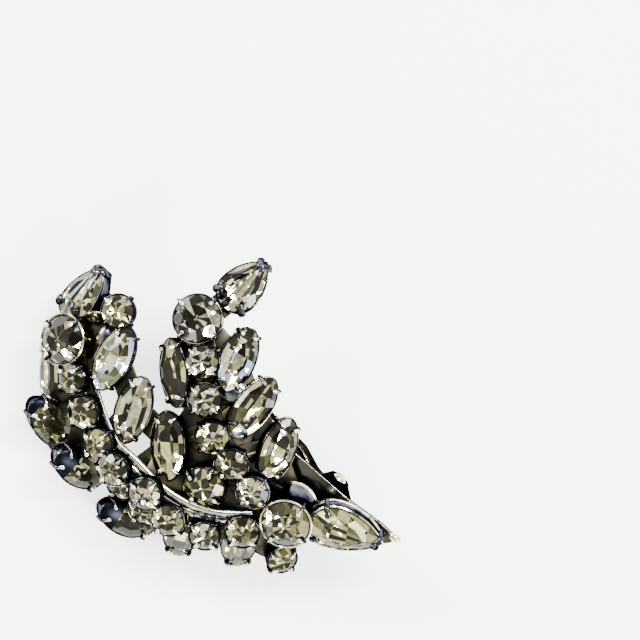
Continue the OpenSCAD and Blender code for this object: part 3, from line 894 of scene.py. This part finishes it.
def clawPlace(name, degrees):
    cut = crystals[name]["cut"]
    a, b = cuts[cut]["a"], cuts[cut]["b"]
    edge = edgePoint(cut, a, b, degrees)
    along = edgePoint(cut, a, b, degrees + clawLook["along"]) - edge
    turn = Matrix.Rotation(math.atan2(-along.x, along.y), 4, "Z")
    stretch = Matrix.Diagonal((*clawLook["stretch"].get(cut, (1, 1, 1)), 1))
    return crystalPlace(name) @ Matrix.Translation(edge) @ turn @ stretch


def insideCrystal(name, spot):
    local = crystalPlace(name).inverted() @ spot
    a, b = cutOf(name)["a"], cutOf(name)["b"]
    flat = math.hypot(local.x / a, local.y / b)
    low = -cutting["point"] * b * (1 - flat)
    high = cutting["table"] * b + clawLook["above"]
    return flat < clawLook["room"] and low < local.z < high


def clawTurn(name, degrees):
    # a claw that would stand in a neighbouring crystal moves round its own to the nearest free place
    near = [other for other in crystals if other != name
            and (crystalSpot(other) - crystalSpot(name)).length < clawLook["near"]]
    for step in clawLook["steps"]:
        place = clawPlace(name, degrees + step)
        spots = [place @ Vector((x, 0, z)) for x, z, r in clawLook["path"][1:]]
        if not any(insideCrystal(other, spot) for other in near for spot in spots):
            return degrees + step
    return None


def standLevel(cup):
    # a low cup that leans far is filed flat where it stands on the table
    if min(vertex.co.z for vertex in cup.data.vertices) < 0:
        edit(cup)
        bpy.ops.mesh.bisect(plane_co=(0, 0, cupLook["filedTo"] * mm), plane_no=(0, 0, -1), use_fill=True,
                            clear_outer=True, threshold=cupLook["filedReach"] * mm)
        leaveEdit()


def setMetal():
    cupMasters = {cut: makeCup(cut) for cut in cuts}
    clawMaster = makeClaw()
    cups = []
    claws = []
    for name, row in crystals.items():
        cup = copyTo(cupMasters[row["cut"]], frontToTable() @ crystalPlace(name), "cup")
        for finish in cupLook["finishes"].get(name, cupLook["plainFinish"]):
            cup.data.materials.append(finish)
        standLevel(cup)
        cups.append(cup)
        for degrees in cutOf(name)["claws"]:
            free = clawTurn(name, degrees)
            if free is None:
                print("no free place for a claw of", name)
                continue
            claw = copyTo(clawMaster, frontToTable() @ clawPlace(name, free), "claw")
            claw.data.materials.append(plated)
            claw.data.materials.append(plated if row["cut"] in clawLook["stretch"] else paintedEdgeHighlight)
            claws.append(claw)
    dropMasters(list(cupMasters.values()) + [clawMaster])
    cups = joinPieces(cups + [makeHood(name) for name in hoodLook["from"]], "cups")
    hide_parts("setting_frame")
    claws = joinPieces(claws, "claws")
    for piece in (cups, claws):
        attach(piece, "ornament")


setMetal()
print("cups and claws set")

# Wires and straps behind the cups, and the clip's rivets, in mm; the straps are dark metal put where the
# gaps hold only shade
wireLook = {
    "wire": 1.1,
    "steps": 6,                # between the points of a wire, and how finely it is rounded
    "rounding": 3,
    "strap": (3.0, 0.6),       # width and thickness
    "strapEdge": 0.2,
    "strapReach": 7.6,         # feet of cups that are nearer than this are joined by a strap
    "footRise": 0.3,           # of the wires above the cups' feet, as a share of the wire
    # where the light shows through between the branches, and how far straps keep from there
    "gaps": [(-12.7, 2.1), (-8.9, -3.2), (-7.5, 2.6)],
    "gapReach": 2.2,
    # place of each rivet on the clip's strip, and the crystal that its strut runs to
    "rivets": [(4.6, 0.6, "base_crown"), (-3.9, -0.8, "base_pear")],
    "rivetParts": [(2.29, 0.35, 1.2), (2.29, 1.07, 0.6), (3.36, 0.9, 1.2)],   # foot, height and radius
    "rivetEdge": 0.12,
    "strut": 1.65,
    "strutTop": 4.0,
}


def cupFoot(name):
    facing = crystalPlace(name).to_3x3() @ Vector((0, 0, 1))
    return crystalSpot(name) - facing * (cutOf(name)["cup"] - wireLook["footRise"] * wireLook["wire"])


def tube(points, diameter, name, order=4):
    bpy.ops.curve.primitive_nurbs_path_add()
    path = bpy.context.object
    path.name = name
    curve = path.data
    curve.splines.clear()
    spline = curve.splines.new("NURBS")
    spline.points.add(len(points) - 1)
    for spot, point in zip(spline.points, points):
        spot.co = (point.x, point.y, point.z, 1)
    spline.order_u = min(order, len(points))
    spline.use_endpoint_u = True
    spline.resolution_u = wireLook["steps"]
    curve.dimensions = "3D"
    curve.bevel_depth = diameter / 2
    curve.bevel_resolution = wireLook["rounding"]
    curve.use_fill_caps = True
    pick(path)
    bpy.ops.object.convert(target="MESH")
    return bpy.context.object


def makeStrap():
    bpy.ops.mesh.primitive_cube_add(size=1)
    strap = bpy.context.object
    strap.name = "strap"
    edit(strap, "EDGE")
    bpy.ops.transform.resize(value=(1, *wireLook["strap"]))
    bpy.ops.mesh.bevel(offset=wireLook["strapEdge"], segments=2)
    return leaveEdit()


def strapPlace(first, second):
    start, end = cupFoot(first), cupFoot(second)
    facing = (crystalPlace(first).to_3x3() + crystalPlace(second).to_3x3()) @ Vector((0, 0, 1))
    along = (end - start).normalized()
    across = facing.cross(along).normalized()
    axes = Matrix((along, across, along.cross(across))).transposed().to_4x4()
    return Matrix.Translation((start + end) / 2) @ axes @ Matrix.Diagonal(((end - start).length, 1, 1, 1))


def leavesGapsOpen(start, end):
    for gap in wireLook["gaps"]:
        spot, share = intersect_point_line(Vector((*gap, 0)), Vector((*start.xy, 0)), Vector((*end.xy, 0)))
        if 0 < share < 1 and (spot.xy - Vector(gap)).length < wireLook["gapReach"]:
            return False
    return True


# Smooth lobes of metal between cups: the ball's height, where it is cut, and for each lobe its x, y,
# lift off the dome, half length, half width, turn and material. The last is the lip at the end of the
# clip strip's tongue, bright with a painted highlight.
lobeLook = {
    "height": 0.6,
    "foot": -0.25,
    "lobes": [
        (-12.9, 9.6, -1.0, 1.5, 1.1, 60, greyed),
        (1.9, 3.3, -0.9, 2.4, 1.5, -25, greyed),
        (-14.2, 11.9, -0.7, 1.3, 0.8, -20, gilt),
        (21.2, -14.2, 3.2, 0.85, 0.5, -30, paintedBroadHighlight),
    ],
}


def makeLobe(x, y, lift, length, width, turn, material):
    bpy.ops.mesh.primitive_uv_sphere_add(segments=36, ring_count=18, radius=1)
    lobe = bpy.context.object
    edit(lobe)
    bpy.ops.transform.resize(value=(length, width, lobeLook["height"]))
    bpy.ops.mesh.bisect(plane_co=(0, 0, lobeLook["foot"]), plane_no=(0, 0, -1), use_fill=True,
                        clear_outer=True)
    leaveEdit()
    spot = Matrix.Translation((x, y, domeHeight(x, y) + lift))
    lobe.data.transform(spot @ Matrix.Rotation(math.radians(turn), 4, "Z"))
    coverWith(lobe, material)
    return lobe


# The double stem in front, bright with painted highlights, and the thin one beside it: routes, and for
# each wire its route, shift to the lower left, lift off the dome, diameter and material
stemLook = {
    "routes": {
        "double": [(-11.4, -3.2), (-9.0, -5.2), (-7.4, -7.3), (-4.6, -9.4), (-2.0, -10.7),
                   (1.0, -11.4), (4.4, -11.2)],
        "side": [(-14.0, 3.6), (-13.5, 1.6), (-12.6, -0.8), (-11.9, -2.4), (-10.6, -4.2), (-8.8, -6.6)],
    },
    "stems": [
        ("double", 0.0, 0.3, 0.95, paintedBroadHighlight),
        ("double", -0.65, 0.0, 0.95, paintedSpotHighlight),
        ("side", 0.0, -0.3, 0.6, greyed),
    ],
}


def makeStem(route, shift, lift, diameter, material):
    points = [Vector((x + shift, y + shift, domeHeight(x, y) + lift))
              for x, y in stemLook["routes"][route]]
    stem = tube(points, diameter, "stemWire")
    coverWith(stem, material)
    return stem


def makeShadeStraps():
    # dark straps fill the gaps between near cups, where there is only shade, and keep off the open gaps
    straps = []
    master = makeStrap()
    for first, second in itertools.combinations(crystals, 2):
        start, end = cupFoot(first), cupFoot(second)
        if (start - end).length < wireLook["strapReach"] and leavesGapsOpen(start, end):
            straps.append(copyTo(master, strapPlace(first, second), "strap"))
    print("straps:", len(straps))
    dropMasters([master])
    return straps


def makeRivets():
    # the two struts and the stepped rivets that hold the clip's strip
    parts = []
    for x, y, crystal in wireLook["rivets"]:
        top = clipPlace() @ Vector((x, y, wireLook["strutTop"]))
        parts.append(tube([top, cupFoot(crystal)], wireLook["strut"], "strut", 2))
        for low, height, radius in wireLook["rivetParts"]:
            bpy.ops.mesh.primitive_cylinder_add(vertices=32, radius=radius, depth=height,
                                                location=(x, y, low + height / 2))
            rivet = bpy.context.object
            bpy.ops.object.transform_apply(location=True)
            edit(rivet, "EDGE")
            bpy.ops.mesh.bevel(offset=wireLook["rivetEdge"], segments=3)
            leaveEdit()
            rivet.data.transform(clipPlace())
            parts.append(rivet)
    return parts


def setWires():
    straps = makeShadeStraps()
    joining = [tube([cupFoot(name), cupFoot(row["wireTo"])], wireLook["wire"], "wire", 2)
               for name, row in crystals.items() if row["wireTo"]]
    wires = joinPieces(straps + joining + makeRivets(), "backWiresAndShadeStraps")
    coverWith(wires, solderAndShadeFill)
    lobes = joinPieces([makeLobe(*row) for row in lobeLook["lobes"]], "lobes")
    stems = joinPieces([makeStem(*row) for row in stemLook["stems"]], "stemWires")
    for piece in (wires, lobes, stems):
        piece.data.transform(frontToTable())
        smooth(piece)
        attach(piece, "ornament")


setWires()
print("wires and rivets set")

# The clip keeps the imported model's shapes, merged and with their edges eased; the eased edges carry a
# painted highlight
clipLook = {
    "edge": 0.12,       # mm
    "pinEdge": 0.08,
    "segments": 3,
    "merge": 0.001,     # mm
    "flat": 1,          # faces that meet at fewer degrees than this become one
    "sharp": 35,        # edges that turn by more degrees than this are eased
}


def easedCopy(nodeName, name, material, edgeHighlightMaterial, edge):
    piece = copyTo(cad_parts[nodeName], Matrix.Scale(1 / mm, 4), name)
    coverWith(piece, material, edgeHighlightMaterial)
    mergePoints(piece, clipLook["merge"])
    edit(piece, "FACE")
    bpy.ops.mesh.dissolve_limited(angle_limit=math.radians(clipLook["flat"]))
    leaveEdit()
    bevel = piece.modifiers.new("easedEdge", "BEVEL")
    bevel.width = edge
    bevel.segments = clipLook["segments"]
    bevel.angle_limit = math.radians(clipLook["sharp"])
    bevel.material = 1
    applyModifiers(piece)
    mergePoints(piece, clipLook["merge"])
    piece.data.transform(millimetres())
    smooth(piece)
    return piece


def setClip():
    base = easedCopy("clip_base", "clipStrip", thinned, paintedBroadHighlight, clipLook["edge"])
    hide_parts("clip_base")
    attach(base, "ornament")
    paddle = easedCopy("clip_paddle", "clipPaddle", mottled, paintedEdgeHighlight, clipLook["edge"])
    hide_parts("clip_paddle")
    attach(paddle, "paddle")
    pin = easedCopy("hinge_pin", "hingePin", paintedBroadHighlight, paintedEdgeHighlight, clipLook["pinEdge"])
    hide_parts("hinge_pin")
    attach(pin, "ornament")


setClip()
print("clip set")
